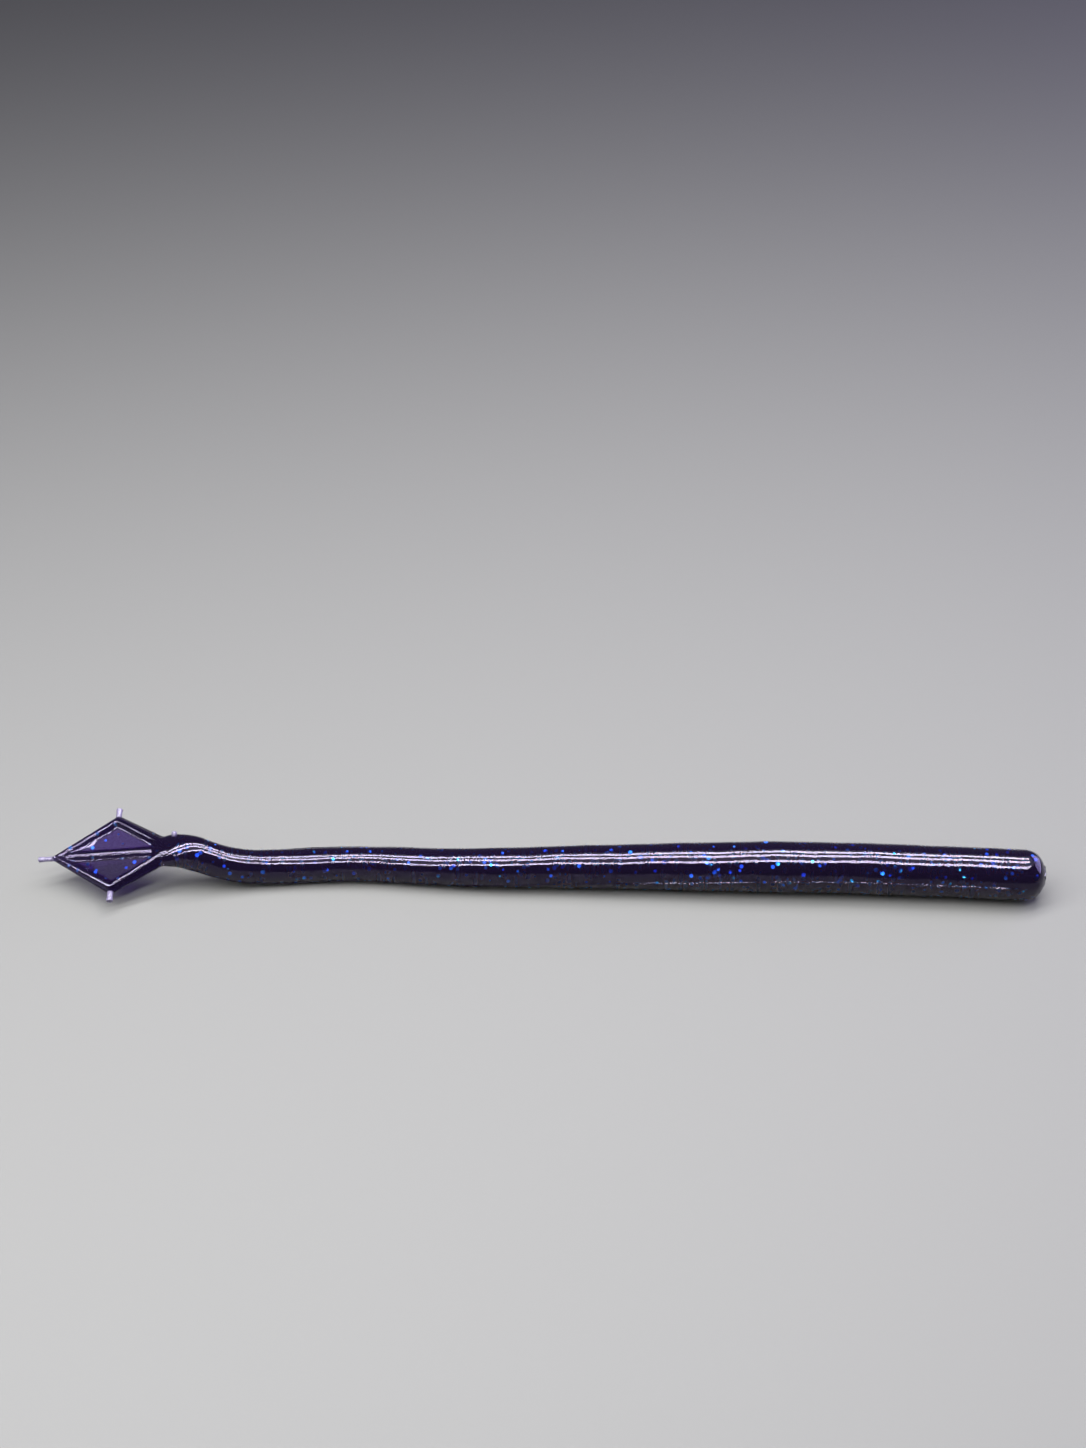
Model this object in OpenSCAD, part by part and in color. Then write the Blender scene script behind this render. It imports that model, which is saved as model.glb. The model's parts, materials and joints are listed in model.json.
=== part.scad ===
// Soft plastic worm: a slim solid body that tapers to a neck and a flat diamond paddle tail.
// Frame: +X towards the nose, +Z up. The worm lies on z = 0, with its middle over the origin.
// It is one soft moulding, cut here into short sections. Each bend between two sections has a
// round knuckle on the rear piece and a round socket in the front piece, so the chain can flex.

/* [Body] */
// Diameter of the front part of the body
head_d = 8.4; // [6.4:0.1:10.4]
// Diameter of the slim part ahead of the tail
tail_d = 5.6; // [4.6:0.1:6.8]
// Distance from the nose tip to where the taper starts
straight_l = 46; // [25:1:60]
// Length of the taper
taper_l = 65; // [40:1:85]

/* [Nose] */
// Length of the dome, from the full diameter to the torn gate
dome_l = 3.2; // [2:0.1:4.5]
// Diameter of the torn gate on the nose tip
gate_d = 3.4; // [2:0.1:4.4]
// How far the torn gate stands out of the dome
gate_h = 0.4; // [0.2:0.1:0.8]

/* [Sections] */
// Length of the nose section, from the tip to the first bend
first_l = 19; // [17:0.5:24]
// Length of the last section, between the last two bends
last_l = 7; // [6.6:0.1:9]
// How far a knuckle's radius is over the body's own radius
knuckle_over = 0.5; // [0.4:0.05:0.8]
// Gap between a knuckle and its socket
bend_gap = 0.15; // [0.1:0.05:0.3]

/* [Paddle tail] */
// Length of the diamond, from its front corner to its tip
paddle_l = 23.3; // [19:0.1:28]
// Width of the diamond across its side corners
paddle_w = 14.9; // [11:0.1:18]
// Distance from the front corner back to the widest place
paddle_wide_at = 12.6; // [10:0.1:15]
// Distance from the last bend back to the diamond's front corner, less than 0 when it is ahead
root_l = -1.9; // [-2:0.1:1]
// Height of the rim's crest over the middle plane, at the front corner
crest_front = 1.5; // [1.2:0.1:2]
// Height of the rim's crest over the middle plane, at the side corners
crest_side = 1; // [0.8:0.1:1.6]
// Height of the rim's crest over the middle plane, at the tip
crest_tip = 0.7; // [0.6:0.1:1.2]
// Distance in from the outline to the crest at the front corner
flare_front = 1.5; // [1:0.1:1.6]
// Distance in from the outline to the crest at the side corners
flare_side = 0.95; // [0.5:0.05:1.3]
// Distance in from the outline to the crest at the tip
flare_tip = 0.4; // [0.3:0.05:0.8]
// Flat width along the rim's crest
rim_crest = 0.3; // [0.2:0.05:0.5]
// Width of the rim's inner slope
rim_slope = 0.6; // [0.3:0.05:1]
// Height of the narrow flat land around the outline, where the two mould halves met
rim_land = 0.3; // [0.2:0.05:0.5]
// Thickness of the web inside the rim
web_t = 0.7; // [0.4:0.1:1.2]
// Diameter of the rib down the middle of the paddle
rib_d = 1.9; // [1.4:0.1:2.6]
// How far the rib's round end runs into the rim, past the web
rib_lap = 0.18; // [0.1:0.02:0.4]
// Distance from the last bend back to where the neck's end starts to round off
root_straight = 1.1; // [0.8:0.1:2.5]

/* [Mould marks] */
// Diameter and length of the vent nub on the paddle's tip
tip_nub_d = 0.9; // [0.6:0.1:1.4]
tip_nub_l = 2.1; // [1:0.1:3]
// Diameter and length of the vent nubs on the paddle's side corners
side_nub_d = 1.1; // [0.7:0.1:1.5]
side_nub_l = 1.3; // [0.8:0.1:2]
// Diameter of the bead of plastic on the neck
bead_d = 0.9; // [0.6:0.1:1.3]

/* [Glitter] */
// Size of a glitter flake across its corners
flake_d = 0.8; // [0.4:0.05:1]
// Thickness of a flake
flake_t = 0.05; // [0.04:0.01:0.1]
// Flakes per millimetre of body
flakes_per_mm = 1; // [0.5:0.1:1.5]

/* [Rest shape] */
// Height of the last bend but one over where the body would lie
neck_lift = 1.6; // [0:0.1:2.5]
// Height of the last bend over where the body would lie
tail_lift = 3.9; // [2.5:0.1:5]
// Slope of the paddle down towards its tip, in degrees
paddle_pitch = 5.5; // [0:0.5:15]
// Turn of the paddle away from the near side, in degrees
paddle_yaw = 1; // [-10:1:15]
// Roll of the paddle, near side down, in degrees
paddle_roll = 22; // [0:1:25]

/* [Hidden] */
$fn = 48;
body_colour = "#2a1a5e";
mark_colour = "#a79cc8";
flake_colour = "#2f7dff";

// Heading of each section from the nose back, in degrees: a lazy S, as the worm lies.
headings = [4, 3, 1.5, 1.5, 1, 1.5, 5, 1, -4, -5, 0];
sections = len(headings);
arc_steps = 12;
golden_angle = 137.508;
golden_part = 0.618034;

function add_up(list, n) = n == 0 ? 0 : list[n - 1] + add_up(list, n - 1);
function unit_part(x) = x - floor(x);

section_l = [for (i = [0 : sections - 1]) first_l + (last_l - first_l) * i / (sections - 1)];
// Distance of each bend from the nose tip, along the body
bend_s = [for (i = [0 : sections]) add_up(section_l, i)];
body_l = bend_s[sections];

function radius_at(s) = s <= straight_l ? head_d / 2 :
    s >= straight_l + taper_l ? tail_d / 2 :
    head_d / 2 + (tail_d - head_d) / 2 * (s - straight_l) / taper_l;

bend_r = [for (s = bend_s) radius_at(s)];
knuckle_r = [for (r = bend_r) r + knuckle_over];
lift = [for (i = [0 : sections]) i == sections ? tail_lift : i == sections - 1 ? neck_lift : 0];
bend_z = [for (i = [0 : sections]) bend_r[i] + lift[i]];
pitches = [for (i = [0 : sections - 1]) asin((bend_z[i + 1] - bend_z[i]) / section_l[i])];

nose_x = (body_l + root_l + paddle_l + tip_nub_l) / 2 - 0.3;
nose_y = -3.7;
function step(i) = section_l[i] * [-cos(headings[i]) * cos(pitches[i]),
                                   sin(headings[i]) * cos(pitches[i]),
                                   sin(pitches[i])];
function bend_at(i) = i == 0 ? [nose_x, nose_y, bend_z[0]] : bend_at(i - 1) + step(i - 1);

// Odd bends pitch about Y, even bends turn about Z.
function bend_is_pitch(i) = i % 2 == 1;

module at_section(i) {
    translate(bend_at(i)) rotate([0, pitches[i], -headings[i]]) children();
}

module at_paddle() {
    translate(bend_at(sections)) rotate([paddle_roll, -paddle_pitch, -paddle_yaw]) children();
}

// A round cutter along a bend's axis, longer than the body is thick
module bend_cylinder(i, r) {
    translate(bend_at(i)) rotate(bend_is_pitch(i) ? [90, 0, 0] : [0, 0, 0])
        cylinder(r = r, h = 4 * r, center = true);
}

// A round bar about the X axis, from a list of [radius, x] points with the axis closing it.
// Its seam is turned away from the planes that the bends lie in.
module turned(profile) {
    seam_turn = 50;
    rotate([0, 90, 0]) rotate([0, 0, seam_turn]) rotate_extrude() polygon(profile);
}

// What lies ahead of a bend and outside its knuckle, as far as a section's bar reaches
module ahead_of_knuckle(i) {
    r = knuckle_r[i];
    difference() {
        translate(bend_at(i)) translate([0, -1.5 * r, -1.5 * r]) cube([2 * r, 3 * r, 3 * r]);
        bend_cylinder(i, r);
    }
}

module socket(i) {
    bend_cylinder(i, knuckle_r[i] + bend_gap);
}

// The bar of one section, from its front knuckle to its rear bend. Where the taper starts or
// ends inside the section, the profile gets a point there.
module section_bar(i) {
    front = bend_s[i] - knuckle_r[i];
    rear = bend_s[i + 1];
    kinks = [for (s = [straight_l, straight_l + taper_l]) if (s > front && s < rear) s];
    stations = concat([front], kinks, [rear]);
    outline = [for (s = stations) [radius_at(s), bend_s[i] - s]];
    turned(concat([[0, bend_s[i] - front]], outline, [[0, bend_s[i] - rear]]));
}

module section(i) {
    color(body_colour) difference() {
        at_section(i) section_bar(i);
        ahead_of_knuckle(i);
        socket(i + 1);
    }
}

module nose() {
    r = head_d / 2;
    gate_angle = acos(gate_d / 2 / r);
    ellipse = dome_l / sin(gate_angle);
    dome_x = -gate_h - dome_l;
    dome = [for (k = [0 : arc_steps]) let (a = gate_angle * (1 - k / arc_steps))
        [r * cos(a), dome_x + ellipse * sin(a)]];
    color(body_colour) difference() {
        at_section(0) turned(concat([[0, -gate_h]], dome, [[r, -first_l], [0, -first_l]]));
        socket(1);
    }
}

module gate_scar() {
    color(mark_colour) at_section(0)
        turned([[0, 0], [gate_d / 2, 0], [gate_d / 2, -gate_h], [0, -gate_h]]);
}

// The diamond is a kite, which has an inscribed circle. Shrinking the kite about that circle's
// middle moves its sides in by an even distance. Each corner has its own distance here,
// because the rim narrows from the neck to the tip.
corners = [[0, 0], [-paddle_wide_at, paddle_w / 2], [-paddle_l, 0],
           [-paddle_wide_at, -paddle_w / 2]];
front_side = norm(corners[1]);
rear_side = norm(corners[1] - corners[2]);
inscribed_r = paddle_l * paddle_w / 2 / (front_side + rear_side);
inscribed_at = [-inscribed_r * front_side / (paddle_w / 2), 0];
flares = [flare_front, flare_side, flare_tip, flare_side];
crests = [crest_front, crest_side, crest_tip, crest_side];
function kite(extra) = [for (k = [0 : 3])
    inscribed_at + (corners[k] - inscribed_at) * (1 - (flares[k] + extra) / inscribed_r)];
wall = rim_crest + rim_slope;

module kite_slab(outline, t) {
    translate([-root_l, 0, 0]) linear_extrude(t, center = true) polygon(outline);
}

// A dot over each corner of a kite, at that corner's own height, for hull() to span
module dots(outline, heights) {
    dot = 0.01;
    for (k = [0 : 3]) translate([outline[k][0] - root_l, outline[k][1], heights[k]])
        cylinder(d = dot, h = dot, center = true, $fn = 4);
}

module paddle_block() {
    hull() {
        kite_slab(corners, rim_land);
        dots(kite(0), crests);
        dots(kite(0), -crests);
    }
}

// The hollow in one face of the paddle. Its sloping sides run on past the crest.
module paddle_hollow(side) {
    run_on = 1.6;
    floor_z = web_t / 2;
    hull() {
        dots(kite(wall), side * [floor_z, floor_z, floor_z, floor_z]);
        dots(kite(wall - rim_slope * run_on),
             [for (h = crests) side * (floor_z + (h - floor_z) * run_on)]);
    }
}

// The neck's rounded end, which runs into the diamond's front corner.
module root_bar() {
    r = tail_d / 2;
    arc = [for (k = [0 : arc_steps]) let (a = 90 * k / arc_steps)
        [r * cos(a), -root_straight - r * sin(a)]];
    turned(concat([[0, knuckle_r[sections]], [r, knuckle_r[sections]]], arc));
}

module rib_bar() {
    r = rib_d / 2;
    tip = root_l - kite(wall)[2][0] + rib_lap;
    arc = [for (k = [0 : arc_steps]) let (a = 90 * k / arc_steps)
        [r * cos(a), -tip + r - r * sin(a)]];
    turned(concat([[0, -root_straight], [r, -root_straight]], arc));
}

module paddle_root() {
    color(body_colour) difference() {
        at_paddle() root_bar();
        ahead_of_knuckle(sections);
    }
}

// The bead stands on the neck's rounded end, on top and to the far side.
module neck_bead() {
    bead_lean = -60;
    color(mark_colour) at_paddle() difference() {
        translate([-root_straight / 2, 0, 0]) rotate([bead_lean, 0, 0])
            cylinder(d = bead_d, h = tail_d / 2 + bead_d / 2);
        root_bar();
    }
}

module paddle_rim() {
    color(body_colour) at_paddle() difference() {
        paddle_block();
        paddle_hollow(1);
        paddle_hollow(-1);
        kite_slab(kite(wall), 2 * web_t);
        rib_bar();
        root_bar();
    }
}

module paddle_rib() {
    color(body_colour) at_paddle() difference() {
        rib_bar();
        root_bar();
    }
}

module web(side) {
    half = 2 * paddle_l;
    color(body_colour) at_paddle() difference() {
        intersection() {
            kite_slab(kite(wall), web_t);
            translate([-half, side > 0 ? 0 : -half, -half / 2]) cube(half);
        }
        rib_bar();
        root_bar();
    }
}

module web_near() {
    web(-1);
}

module web_far() {
    web(1);
}

module corner_nub(corner, turn, d, l) {
    color(mark_colour) at_paddle() difference() {
        translate([corner[0] - root_l, corner[1], 0]) rotate([0, -90, turn])
            translate([0, 0, -d]) cylinder(d = d, h = l + d);
        paddle_block();
    }
}

module nub_tip() {
    corner_nub(corners[2], 0, tip_nub_d, tip_nub_l);
}

module nub_near() {
    corner_nub(corners[3], 90, side_nub_d, side_nub_l);
}

module nub_far() {
    corner_nub(corners[1], -90, side_nub_d, side_nub_l);
}

module flake(n) {
    rotate([n * 77, n * 131, n * 53]) cylinder(d = flake_d, h = flake_t, center = true, $fn = 6);
}

// Flakes spread through one section: even steps along it, golden steps around and across it.
module glitter(i) {
    ahead = i == 0 ? -gate_h - flake_d : 0.6 * knuckle_r[i];
    behind = -section_l[i] + knuckle_r[i + 1] + bend_gap + flake_d;
    count = round(section_l[i] * flakes_per_mm);
    color(flake_colour) at_section(i) for (k = [0 : count - 1]) {
        n = k + 20 * i;
        x = ahead + (behind - ahead) * (k + 0.5) / count;
        room = (i == 0 && k < 3 ? gate_d / 2 : radius_at(bend_s[i] - x)) - flake_d * 0.65;
        r = room * sqrt(unit_part(n * golden_part));
        translate([x, r * cos(n * golden_angle), r * sin(n * golden_angle)]) flake(n);
    }
}

// Flakes in the paddle lie in its middle plane, along the rim's four sides.
module glitter_paddle() {
    mid = kite(rim_crest / 2);
    per_side = 4;
    color(flake_colour) at_paddle() for (side = [0 : 3]) for (k = [0 : per_side - 1]) {
        part = (k + 0.7) / (per_side + 0.4);
        at = mid[side] * (1 - part) + mid[(side + 1) % 4] * part;
        translate([at[0] - root_l, at[1], 0]) rotate([0, 0, k * 53])
            cylinder(d = flake_d, h = flake_t, center = true, $fn = 6);
    }
}

nose();
gate_scar();
section(1);  // section_1
section(2);  // section_2
section(3);  // section_3
section(4);  // section_4
section(5);  // section_5
section(6);  // section_6
section(7);  // section_7
section(8);  // section_8
section(9);  // section_9
section(10);  // section_10
neck_bead();
paddle_root();
paddle_rim();
paddle_rib();
web_near();
web_far();
nub_tip();
nub_near();
nub_far();
glitter(0);  // glitter_nose
glitter(1);  // glitter_1
glitter(2);  // glitter_2
glitter(3);  // glitter_3
glitter(4);  // glitter_4
glitter(5);  // glitter_5
glitter(6);  // glitter_6
glitter(7);  // glitter_7
glitter(8);  // glitter_8
glitter(9);  // glitter_9
glitter(10);  // glitter_10
glitter_paddle();
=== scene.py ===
# %% [markdown]
# # A soft plastic worm
# This worm is one clear-purple plastisol moulding with blue glitter cast into it. The packed
# CAD model says where its bends are and how big it is. This script builds the looks around it:
# a smooth skin, the flat paddle tail, the mould marks, the glitter, and a studio.

# %% Load the imported model
import json
import math

import bpy
import numpy as np
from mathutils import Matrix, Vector

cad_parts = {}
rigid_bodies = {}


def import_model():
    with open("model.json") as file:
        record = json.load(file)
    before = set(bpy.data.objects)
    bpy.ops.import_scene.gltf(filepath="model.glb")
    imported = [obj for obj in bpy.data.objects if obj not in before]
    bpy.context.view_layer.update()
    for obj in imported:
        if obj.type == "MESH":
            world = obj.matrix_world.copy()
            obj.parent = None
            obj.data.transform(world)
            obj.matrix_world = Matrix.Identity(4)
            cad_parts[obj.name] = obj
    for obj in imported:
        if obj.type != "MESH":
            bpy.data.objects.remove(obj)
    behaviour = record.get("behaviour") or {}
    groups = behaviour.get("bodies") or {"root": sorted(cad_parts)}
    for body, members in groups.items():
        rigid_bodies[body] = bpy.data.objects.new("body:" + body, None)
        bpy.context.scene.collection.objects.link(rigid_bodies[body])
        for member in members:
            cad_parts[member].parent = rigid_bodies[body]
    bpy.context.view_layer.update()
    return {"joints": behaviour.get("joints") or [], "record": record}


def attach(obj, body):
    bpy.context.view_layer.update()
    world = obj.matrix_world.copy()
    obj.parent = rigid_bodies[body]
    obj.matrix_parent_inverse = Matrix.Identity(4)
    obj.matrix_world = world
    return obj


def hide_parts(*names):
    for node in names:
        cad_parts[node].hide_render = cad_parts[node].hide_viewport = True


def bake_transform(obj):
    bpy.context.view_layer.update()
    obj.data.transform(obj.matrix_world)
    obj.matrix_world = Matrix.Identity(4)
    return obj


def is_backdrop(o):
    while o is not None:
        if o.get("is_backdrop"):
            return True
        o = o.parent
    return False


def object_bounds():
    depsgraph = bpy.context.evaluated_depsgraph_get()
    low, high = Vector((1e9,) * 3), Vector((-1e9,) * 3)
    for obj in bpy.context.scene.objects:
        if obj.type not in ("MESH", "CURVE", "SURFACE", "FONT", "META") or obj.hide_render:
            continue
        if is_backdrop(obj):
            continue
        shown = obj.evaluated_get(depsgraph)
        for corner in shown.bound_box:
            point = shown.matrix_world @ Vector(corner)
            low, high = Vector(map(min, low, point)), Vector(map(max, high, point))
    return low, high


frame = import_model()

# %% [markdown]
# ## Units
# A worm is measured in millimetres and Blender works in metres, so every size below is written
# in millimetres and multiplied by `MM` as it goes into a mesh. Colours are written as sRGB hex,
# as a paint chart gives them. Shaders want linear light, so one function turns one to the other.

# %% Units and colours
MM = 0.001


def linear(hex_colour):
    """An sRGB hex colour as linear red, green, blue and alpha."""
    channels = [int(hex_colour[i:i + 2], 16) / 255 for i in (1, 3, 5)]
    return [c / 12.92 if c <= 0.04045 else ((c + 0.055) / 1.055) ** 2.4 for c in channels] + [1]


print("middle grey in linear light:", [round(c, 3) for c in linear("#808080")])

# %% [markdown]
# ## Camera
# The worm lies across the view and the camera looks down on it from the near side. A 50 mm
# lens at about a third of a metre gives the gentle perspective of a close product shot. The
# camera is tilted up a little from the worm, so that the worm lies below the frame's middle.

# %% Camera
CAMERA_DISTANCE = 335
VIEW_ELEVATION = 38
AIM_ABOVE_WORM = 3.85
# The point on the worm that the distance is measured from: right, away, and up from the origin
AIM_X, AIM_Y, AIM_Z = 0.7, 1.6, 3.5
camera_data = bpy.data.cameras.new("camera")
camera_data.lens = 50
camera_data.sensor_width = 36
camera_data.clip_start = 0.01
camera = bpy.data.objects.new("camera", camera_data)
bpy.context.scene.collection.objects.link(camera)
bpy.context.scene.camera = camera
view_up = math.radians(VIEW_ELEVATION)
camera.location = (AIM_X * MM, (AIM_Y - CAMERA_DISTANCE * math.cos(view_up)) * MM,
                   (CAMERA_DISTANCE * math.sin(view_up) + AIM_Z) * MM)
camera.rotation_euler = (math.radians(90 - VIEW_ELEVATION + AIM_ABOVE_WORM), 0, 0)
print("camera at", [round(c, 4) for c in camera.location])

# %% [markdown]
# ## Where the bends are
# The CAD model has a hinge at each bend, and its nose mount gives the nose's place and
# direction. The paddle behind the last bend is a flat piece with a tilt of its own: rolled
# towards the near side and pitched a little. Three turns, one after another, describe that
# more plainly than a matrix would.

# %% Bends and the paddle's own axes
bends = np.array([j["pos_m"] for j in frame["joints"]]) / MM
nose_mount = frame["record"]["mounts"][0]
nose_tip = np.array(nose_mount["pos_m"]) / MM
nose_direction = -np.array(nose_mount["axis"])
PADDLE_ROLL, PADDLE_PITCH, PADDLE_YAW = np.radians([22, -5.5, -1])


def turn(axis, angle):
    """A rotation matrix about the X, Y or Z axis."""
    c, s = math.cos(angle), math.sin(angle)
    return np.array({"x": [[1, 0, 0], [0, c, -s], [0, s, c]],
                     "y": [[c, 0, s], [0, 1, 0], [-s, 0, c]],
                     "z": [[c, -s, 0], [s, c, 0], [0, 0, 1]]}[axis])


paddle_turn = turn("z", PADDLE_YAW) @ turn("y", PADDLE_PITCH) @ turn("x", PADDLE_ROLL)
paddle_back = paddle_turn @ np.array([-1, 0, 0])
print("last bend at", bends[-1].round(2), "paddle runs along", paddle_back.round(3))

# %% [markdown]
# ## The centreline
# The CAD model is a chain of straight sections. The real worm has no corners, so its skin
# follows one smooth curve through all the bends. A Bezier curve object could draw it, but a
# cubic spline whose curvature never jumps is better here, because a glossy surface shows every
# jump as a kink in its highlights. It starts along the nose and ends along the paddle.

# %% A smooth curve through points
CURVE_STEP = 0.05


def smooth_curve(points, first_direction, last_direction):
    """Positions along a clamped cubic spline through the points, at close even steps."""
    chord = np.linalg.norm(np.diff(points, axis=0), axis=1)
    n = len(points)
    left, right = np.eye(n), np.zeros((n, 3))
    right[0], right[-1] = first_direction, last_direction
    for i in range(1, n - 1):
        before, after = chord[i - 1], chord[i]
        left[i, i - 1:i + 2] = after, 2 * (before + after), before
        right[i] = 3 * (before / after * (points[i + 1] - points[i])
                        + after / before * (points[i] - points[i - 1]))
    slopes = np.linalg.solve(left, right)
    pieces = []
    for i in range(n - 1):
        t = np.linspace(0, 1, int(chord[i] / CURVE_STEP), endpoint=False)[:, None]
        pieces.append((2 * t**3 - 3 * t**2 + 1) * points[i] + (3 * t**2 - 2 * t**3) * points[i + 1]
                      + chord[i] * ((t**3 - 2 * t**2 + t) * slopes[i] + (t**3 - t**2) * slopes[i + 1]))
    return np.vstack(pieces + [points[-1:]])


print("curve step, mm:", CURVE_STEP)

# %% [markdown]
# The curve runs from the nose through the bends and turns straight a little behind the last
# one, because the paddle does not bend. Everything on the worm is then placed by its distance
# from the nose along this line.

# %% The centreline
PADDLE_STRAIGHT_FROM = 4.5
PADDLE_RUN, PADDLE_STEP = 25, 0.1
straight_start = bends[-1] + PADDLE_STRAIGHT_FROM * paddle_back
knots = np.vstack([nose_tip, bends, straight_start])
line = smooth_curve(knots, nose_direction, paddle_back)
line = np.vstack([line, line[-1] + np.arange(PADDLE_STEP, PADDLE_RUN, PADDLE_STEP)[:, None] * paddle_back])
line_s = np.concatenate([[0], np.cumsum(np.linalg.norm(np.diff(line, axis=0), axis=1))])
line_tangent = np.gradient(line, line_s, axis=0)
bend_s = np.array([line_s[np.argmin(np.linalg.norm(line - b, axis=1))] for b in bends])


def along(s):
    """The centreline's place and direction at distances s from the nose."""
    place = np.stack([np.interp(s, line_s, line[:, k]) for k in range(3)], -1)
    direction = np.stack([np.interp(s, line_s, line_tangent[:, k]) for k in range(3)], -1)
    return place, direction / np.linalg.norm(direction, axis=-1, keepdims=True)


print("distance of each bend from the nose, mm:", bend_s.round(1))

# %% [markdown]
# ## Diameter
# The body is a plain round bar for its front third and then tapers evenly to the neck. Its nose
# is a full dome, squarer than a ball, with a small flat where the plastic went in. A superellipse
# gives that shape with one number for its fullness.

# %% Diameter
HEAD_R, NECK_R = 4.2, 2.8
STRAIGHT_L, TAPER_L = 46, 65
GATE_R, GATE_H, DOME_L = 1.7, 0.4, 3.2
DOME_POWER = 2.3
NECK_STEP_FROM, NECK_STEP_L, NECK_STEP = 139.4, 0.5, 0.06


def smooth_step(x, low, high):
    """0 below low, 1 above high, and a smooth rise between them."""
    t = np.clip((x - low) / (high - low), 0, 1)
    return t * t * (3 - 2 * t)


def body_radius(s):
    """The body's radius at a distance from the nose, dome and all."""
    taper = np.clip((s - STRAIGHT_L) / TAPER_L, 0, 1)
    r = HEAD_R + (NECK_R - HEAD_R) * taper
    r = r + NECK_STEP * smooth_step(s, NECK_STEP_FROM, NECK_STEP_FROM + NECK_STEP_L)
    reach = DOME_L / math.sin(math.acos(GATE_R / HEAD_R))
    into = np.clip((GATE_H + DOME_L - s) / reach, 0, 0.999)
    return r * (1 - into**DOME_POWER) ** (1 / DOME_POWER)


print("radius at nose, middle, neck:", body_radius(np.array([10, 80, 125])).round(2))

# %% [markdown]
# ## Parting line
# The two halves of the mould left a fine raised line down each side of the worm. Soft plastic
# never lies quite as it was moulded, so that line wanders: it faces the near side at the nose,
# rolls underneath in the slim part, and comes back up to run out along the paddle's edge. A few
# angles along the body, smoothed by a moving average, are enough to say that.

# %% Parting line
WANDER_SMOOTHING = 25
part_s = [0, 40, 80, 100, 120, 134, 143, 200]
part_angle = [5, 4, -15, -36, -44, -30, -22, -22]


def smoothed(values, width):
    """A run of values averaged over a bell-shaped window, an odd number of them wide."""
    kernel = np.hanning(width)
    return np.convolve(np.pad(values, width // 2, mode="edge"), kernel / kernel.sum(), mode="valid")


wander_s = np.arange(0, 180, 1.0)
wander = smoothed(np.interp(wander_s, part_s, part_angle), WANDER_SMOOTHING)


def parting_angle(s):
    """Angle of the near parting line over the horizontal, in radians."""
    return np.radians(np.interp(s, wander_s, wander))


def cross_axes(s):
    """At distances s: the place, and the directions along and across the parting plane."""
    place, direction = along(s)
    near = np.cross([0, 0, 1], direction)
    near /= np.linalg.norm(near, axis=-1, keepdims=True)
    up = np.cross(direction, near)
    a = parting_angle(s)[:, None]
    return place, np.cos(a) * near + np.sin(a) * up, np.cos(a) * up - np.sin(a) * near


print("parting line runs from", wander.min().round(1), "to", wander.max().round(1), "degrees")

# %% [markdown]
# ## Cross-sections
# Every ring of the skin has the same number of points: an upper half and a lower half that
# meet at a narrow land, which is the raised parting line. A round ring would need only even
# angles, but its points crowd together beside the line to draw the ridge. Real plastisol shrinks
# a little unevenly as it cools, so the radius also wavers by a few hundredths of a millimetre,
# which is what makes long highlights look hand-made.

# %% Round cross-sections
HALF_COLUMNS = 80
RIDGE_H, RIDGE_W = 0.13, 0.08
LAND_H = 0.04
CROWDING = 0.8
# Shrinkage waves: height, length along the worm in mm, turns round it, start
SHRINKAGE_WAVES = [(0.022, 17, 2, 0), (0.014, 7.3, -3, 1), (0.004, 3.9, 2, 2)]
SHRINKAGE_FROM, SHRINKAGE_FULL = 1, 8
turns = np.arange(HALF_COLUMNS + 1) / HALF_COLUMNS
ROUND_ANGLES = np.pi * (turns - CROWDING * np.sin(2 * np.pi * turns) / (2 * np.pi))


def shrinkage(s, angle):
    """Small uneven changes of radius, in mm, for distances s and angles round the body."""
    return sum(height * np.sin(2 * np.pi * s / length + round_it * angle + start)
               for height, length, round_it, start in SHRINKAGE_WAVES)


def round_half(s, side):
    """Across and height of the points of one half of round rings: side is 1 above, -1 below."""
    edge = np.minimum(ROUND_ANGLES, np.pi - ROUND_ANGLES)
    r = body_radius(s)[:, None]
    fade = smooth_step(s, SHRINKAGE_FROM, SHRINKAGE_FULL)[:, None]
    ridge = RIDGE_H * np.exp(-(edge * r / RIDGE_W) ** 2)
    r = r + fade * (shrinkage(s[:, None], side * ROUND_ANGLES) + ridge)
    height = np.maximum(r * np.sin(ROUND_ANGLES), LAND_H / 2)
    return r * np.cos(ROUND_ANGLES), side * height


def rings(s, half):
    """Points of closed rings at distances s, from a function that gives each half's points."""
    place, e_across, e_height = cross_axes(s)
    across_up, height_up = half(s, 1)
    across_down, height_down = half(s, -1)
    across = np.concatenate([across_up, across_down[:, ::-1]], 1)[..., None]
    height = np.concatenate([height_up, height_down[:, ::-1]], 1)[..., None]
    return place[:, None] + across * e_across[:, None] + height * e_height[:, None]


print("points in a ring:", 2 * (HALF_COLUMNS + 1))

# %% [markdown]
# ## From rings to a closed skin
# A skin piece is a tube of quads between rings, with a flat cap at each end. It has to be a
# closed solid, because the purple colour is worked out from how far light travels inside it.
# The caps where two pieces meet are marked with an attribute, so the material can make them
# vanish: on the real worm there is nothing there. Neighbours overlap by a few thousandths of a
# millimetre there, so that light never finds a gap between them.

# %% Mesh helpers


def new_object(name, points, faces):
    """A mesh object from points in millimetres."""
    mesh = bpy.data.meshes.new(name)
    mesh.from_pydata((np.asarray(points) * MM).tolist(), [], faces)
    mesh.update()
    obj = bpy.data.objects.new(name, mesh)
    bpy.context.scene.collection.objects.link(obj)
    return obj


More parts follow.
